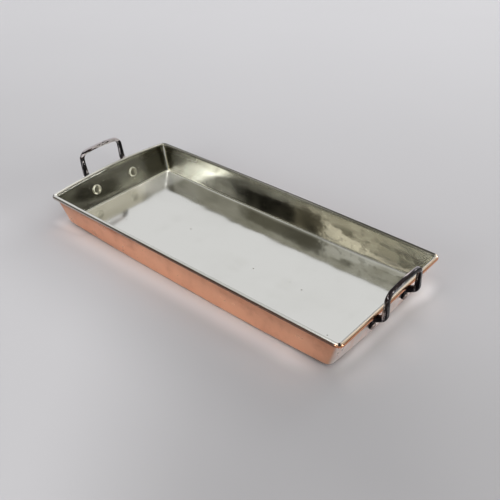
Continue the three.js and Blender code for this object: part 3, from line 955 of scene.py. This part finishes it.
def wire_material(colours):
    """Drawn wire, grey with spots of rust."""
    material, place, *_ = start_material("drawn_wire")
    spots = place.noise(220, 4, 0.6)
    tint = spots.ramp(0.5, 0.7).mix(colours.wire, colours.rust)
    rough = 0.45 + spots * 0.2
    relief = spots.bump(0.3, 0.0004)
    return finish(material, base_color=tint, metallic=0.9, roughness=rough, normal=relief)


def paper_material(studio):
    """Grey paper with painted light and shade: lighter far away and at the left, darker right in
    front and beside the far end, and painted light where the copper throws it.
    """
    material, place, x, y, _ = start_material("grey_paper")
    away = y * 0.8 - x * 0.6
    across = x * 0.766 + y * 0.643
    # Painted light and shade: lighter far away and at the left, darker right in front
    tint = away.ramp(-0.9, 1.6).mix(studio.floor_colour, studio.floor_far)
    left = across.ramp(-0.02, -0.24) * away.ramp(0.25, -0.05)
    tint = (left * 0.36).mix(tint, studio.floor_far)
    middle = across.between(-0.1, 0.05, 0.15, 0.32) * away.ramp(-0.15, -0.35)
    tint = (middle * 0.13).mix(tint, studio.floor_dim)
    tint = (place.noise(3, 2) * 0.06).mix(tint, studio.floor_cloud)
    # Painted shade on the paper beside the far end of the tray
    shaded = y.between(-0.32, -0.2, -0.1, 0.1) * x.ramp(-0.38, -0.28)
    tint = (shaded * 0.1).mix(tint, studio.floor_shade)

    # Painted light that the copper throws on the paper, beside the front wall, its far tip and the
    # near end
    by_front = y.between(-0.16, -0.127, -0.1, -0.08) * x.between(-0.29, -0.2, 0.2, 0.27)
    by_tip = y.between(-0.138, -0.12, -0.1, -0.08) * x.between(-0.3, -0.275, -0.24, -0.19)
    off_end = x + y * y * 0.32 - y.ramp(0.04, 0.1) * 0.012
    by_end = off_end.ramp(0.293, 0.272) * x.ramp(0.2, 0.25) * y.between(-0.14, -0.05, 0.11, 0.15)
    # Painted light of the copper on the paper
    painted_glow = (by_front * 0.5).larger(by_tip * 0.7).larger(by_end * 0.66)
    return finish(material, base_color=painted_glow.mix(tint, studio.floor_glow), roughness=0.9)


# Operators


def tray_in(scene):
    """The shape of the pan, and the sizes of the handles and the rivets."""
    return Pan(scene.tray_pan, scene.tray_handle), scene.tray_handle, scene.tray_rivet


class TRAY_OT_pan(bpy.types.Operator):
    """Raises the copper pan and wipes it with tin"""

    bl_idname = "tray.pan"
    bl_label = "Copper pan and tin lining"

    def execute(self, context):
        pan, *_ = tray_in(context.scene)
        colours = context.scene.tray_colours
        copper = pan_face(pan, pan.sizes.sheet)
        bmesh.ops.solidify(copper, geom=copper.faces[:], thickness=pan.sizes.sheet)
        add_piece("copper_pan", copper, copper_material(colours), ["pan_body"])
        lining = pan_face(pan, pan.lining_front)
        bmesh.ops.solidify(lining, geom=lining.faces[:], thickness=pan.sizes.tin)
        add_piece("tin_coat", lining, tin_material(colours), ["tin_lining"])
        return {"FINISHED"}


class TRAY_OT_wire(bpy.types.Operator):
    """Finishes the wire inside the rolled rim"""

    bl_idname = "tray.wire"
    bl_label = "Rim wire"

    def execute(self, context):
        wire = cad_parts["rim_wire"]
        wire.data.materials.clear()
        wire.data.materials.append(wire_material(context.scene.tray_colours))
        return {"FINISHED"}


class TRAY_OT_handles(bpy.types.Operator):
    """Forges the two iron handles with their palms"""

    bl_idname = "tray.handles"
    bl_label = "Iron handles"

    def execute(self, context):
        pan, handle, rivet = tray_in(context.scene)
        material = iron_material(context.scene.tray_colours)
        for end in (pan.near, pan.far):
            root = foot_height(pan, handle, end, rivet.seat_gap)
            path, low, high = handle_path(pan, handle, end, root, rivet.seat_gap)
            mesh = bmesh.new()
            outwards = pan.wall_normal(end, end.shift, root)
            forge_bar(mesh, path, handle, low, high, outwards)
            for side in (-1, 1):
                top = root + handle.foot / 2
                forge_palm(mesh, pan, handle, end, side, top, rivet.seat_gap)
            bmesh.ops.recalc_face_normals(mesh, faces=mesh.faces[:])
            forged = melt_together(mesh, handle.voxel, SOFT_ROUNDS)
            push_out(
                forged, lambda vert: handle.dent * (hand_work(vert.co, HAMMER_MARKS) - HAMMERED)
            )
            add_piece(
                f"iron_handle_{end.name}", forged, material, [f"handle_{end.name}"]
            )
        return {"FINISHED"}


class TRAY_OT_rivets(bpy.types.Operator):
    """Sets the four rivets through the end walls and palms"""

    bl_idname = "tray.rivets"
    bl_label = "Rivets"

    def execute(self, context):
        pan, handle, rivet = tray_in(context.scene)
        material = rivet_material(context.scene.tray_colours)
        for end in (pan.near, pan.far):
            for side, side_name in ((-1, "front"), (1, "back")):
                name = f"{end.name}_{side_name}"
                mesh = self.turned_rivet(pan, handle, rivet)
                y = end.shift + side * handle.foot_spacing / 2
                outwards = pan.wall_normal(end, y, end.rivet_height)
                place = pan.wall_point(end, y, end.rivet_height, 0)
                turned = outwards.to_track_quat("Z", "Y").to_matrix().to_4x4()
                bmesh.ops.transform(
                    mesh, matrix=Matrix.Translation(place) @ turned, verts=mesh.verts[:]
                )
                push_out(mesh, lambda vert: rivet.dent * hand_work(vert.co, RIVET_MARKS))
                add_piece(
                    f"set_rivet_{name}", mesh, material, [f"rivet_{name}"]
                )
        return {"FINISHED"}

    def turned_rivet(self, pan, handle, rivet):
        """A rivet that stands on its own Z axis, with the copper face of the wall at zero."""
        inside = -pan.lining_front - rivet.seat_gap
        outside = handle.palm + 2 * rivet.seat_gap
        inner = self.head(rivet.inner_head, rivet.inner_height, rivet, rivet.dish_depth)
        outer = self.head(rivet.outer_head, rivet.outer_height, rivet, 0)
        profile = [(radius, inside - height) for radius, height in inner]
        profile += [(rivet.inner_head / 2, inside), (rivet.shank / 2, inside)]
        profile += [(rivet.shank / 2, outside), (rivet.outer_head / 2, outside)]
        profile += [(radius, outside + height) for radius, height in reversed(outer)]
        mesh = bmesh.new()
        way = mesh.verts.layers.float.new("way")
        verts = [mesh.verts.new((radius, 0, height)) for radius, height in profile]
        for vert in verts:
            vert[way] = 2 * vert.co.x / rivet.inner_head
        edges = [mesh.edges.new(pair) for pair in zip(verts, verts[1:])]
        full = {"cent": (0, 0, 0), "axis": (0, 0, 1), "angle": 2 * math.pi, "use_merge": True}
        bmesh.ops.spin(mesh, geom=verts + edges, steps=RIVET_STEPS, **full)
        bmesh.ops.remove_doubles(mesh, verts=mesh.verts[:], dist=0.000001)
        bmesh.ops.recalc_face_normals(mesh, faces=mesh.faces[:])
        return mesh

    def head(self, diameter, height, rivet, dish_depth):
        """The outline of a head from the middle of its dome to its edge."""
        points = []
        for step in range(HEAD_STEPS + 1):
            angle = step / HEAD_STEPS * math.pi / 2
            radius = diameter / 2 * math.sin(angle)
            dome = rivet.head_edge + (height - rivet.head_edge) * math.cos(angle)
            hollow = max(0, 1 - (2 * radius / rivet.dish) ** 2)
            points.append((radius, dome - dish_depth * hollow))
        return points


class TRAY_OT_stage(bpy.types.Operator):
    """Sets up the floor, the light and the camera"""

    bl_idname = "tray.stage"
    bl_label = "Studio"

    # The painted room. Each region has an azimuth from +Y towards +X, an elevation, the angle
    # within which it is full, the angle beyond which it is gone, and its strength or tone
    ROOM = 0.6
    GLOWS = (
        (-42, 34, 8, 45, 0.12),
        (0, 90, 12, 27, 1.5),
        (45, 45, 12, 38, -0.04),
        (23, 53, 5, 14, -0.09),
        (165, 55, 8, 25, -0.2),
    )
    SHADES = (
        (-135, 8, 22, 45.5, 0.85),
        (125, -5, 28, 50, 0.77),
        (75, 0, 28, 48, 0.8),
        (-146.3, 19, 2.2, 3.8, 0.93),
        (-143.8, 20, 1.6, 3.2, 0.75),
    )
    LAMPS = (
        (-151.2, 21, 1.8, 3.4, 0.7),
        (-140, 21, 2.0, 4.0, 0.3),
        (157, 36, 2.5, 9, 1.7),
        (-7, 46, 3.5, 5.5, 1.5),
        (-146, 47, 2, 6, 0.06),
    )
    DIM_TONE = (1.0, 0.965, 0.87)
    BRIGHT_TONE = (0.985, 0.985, 1.03)
    TONES = (
        (35, 48, 12, 38, (1.0, 0.945, 0.85)),
        (-151.2, 21, 1.8, 4.2, (1.0, 0.92, 0.77)),
    )

    # Where each softbox stands, and its diameter
    SOFTBOXES = {
        "top": ((-0.14, -0.28, 2.38), 1.2),
        "front": ((-0.08, -2.19, 0.98), 0.8),
        "end": ((2.23, 0.47, 0.74), 0.6),
        "back": ((0.0, 6.47, 3.15), 2.7),
        "near": ((1.39, -0.87, 1.76), 1.29),
    }

    def execute(self, context):
        scene = context.scene
        studio = scene.tray_studio
        self.lay_floor(studio)
        self.paint_room(scene, studio)
        for name, (place, size) in self.SOFTBOXES.items():
            self.softbox(f"{name}_softbox", place, size, getattr(studio, f"{name}_power"))
        self.place_camera(scene, studio)
        scene.view_settings.view_transform = "Standard"
        scene.cycles.blur_glossy = 0
        return {"FINISHED"}

    def lay_floor(self, studio):
        mesh = bmesh.new()
        bmesh.ops.create_grid(mesh, x_segments=1, y_segments=1, size=FLOOR_REACH)
        floor = place_mesh("paper_floor", mesh)
        floor.data.materials.append(paper_material(studio))

    def paint_room(self, scene, studio):
        scene.world = bpy.data.worlds.new("studio_room")
        scene.world.use_nodes = True
        scene.world.node_tree.nodes.clear()
        here = Reading(scene.world.node_tree)
        towards = here.node("TexCoord", {}, {}, "Generated")

        def part(azimuth, elevation, full, gone):
            axis = direction(math.radians(azimuth), math.radians(elevation))
            near = here.node(
                "VectorMath", {"operation": "DOT_PRODUCT"}, {0: towards, 1: axis}, 1
            )
            return near.ramp(math.cos(math.radians(gone)), math.cos(math.radians(full)))

        shade = self.ROOM
        for *region, strength in self.GLOWS:
            shade = shade + part(*region) * strength
        for *region, strength in self.SHADES:
            shade = shade * (1 - part(*region) * strength)
        for *region, strength in self.LAMPS:
            shade = shade + part(*region) * strength
        tone = shade.ramp(0.25, 0.62).mix(self.DIM_TONE, self.BRIGHT_TONE)
        for *region, other in self.TONES:
            tone = part(*region).mix(tone, other)
        sockets = {"Color": tone, "Strength": shade * studio.room}
        background = here.node("Background", {}, sockets)
        here.node("OutputWorld", {}, {"Surface": background})

    def softbox(self, name, place, size, strength):
        data = bpy.data.lights.new(name, "AREA")
        data.shape = "DISK"
        data.size = size
        data.energy = strength
        aim(place_object(name, data), place, Vector(place))

    def place_camera(self, scene, studio):
        data = bpy.data.cameras.new("camera")
        data.sensor_width = 36
        data.lens = studio.focal_length
        scene.camera = place_object("camera", data)
        back = direction(math.pi - studio.azimuth, studio.elevation)
        aim(scene.camera, Vector(studio.target) + back * studio.distance, back)


class TRAY_PT_panel(bpy.types.Panel):
    """Steps that build the tray"""

    bl_label = "Baking tray"
    bl_space_type = "VIEW_3D"
    bl_region_type = "UI"
    bl_category = "Baking tray"

    def draw(self, context):
        for operator in OPERATORS:
            self.layout.operator(operator.bl_idname)


GROUPS = (
    ("tray_pan", PanSizes),
    ("tray_handle", HandleSizes),
    ("tray_rivet", RivetSizes),
    ("tray_colours", FinishColours),
    ("tray_studio", StudioSizes),
)
OPERATORS = (TRAY_OT_pan, TRAY_OT_wire, TRAY_OT_handles, TRAY_OT_rivets, TRAY_OT_stage)


def register():
    for name, group in GROUPS:
        bpy.utils.register_class(group)
        setattr(bpy.types.Scene, name, PointerProperty(type=group))
    for operator in OPERATORS:
        bpy.utils.register_class(operator)
    bpy.utils.register_class(TRAY_PT_panel)


def unregister():
    bpy.utils.unregister_class(TRAY_PT_panel)
    for operator in reversed(OPERATORS):
        bpy.utils.unregister_class(operator)
    for name, group in reversed(GROUPS):
        delattr(bpy.types.Scene, name)
        bpy.utils.unregister_class(group)


def main():
    register()
    bpy.ops.tray.pan()
    bpy.ops.tray.wire()
    bpy.ops.tray.handles()
    bpy.ops.tray.rivets()
    bpy.ops.tray.stage()


if __name__ == "__main__":
    main()
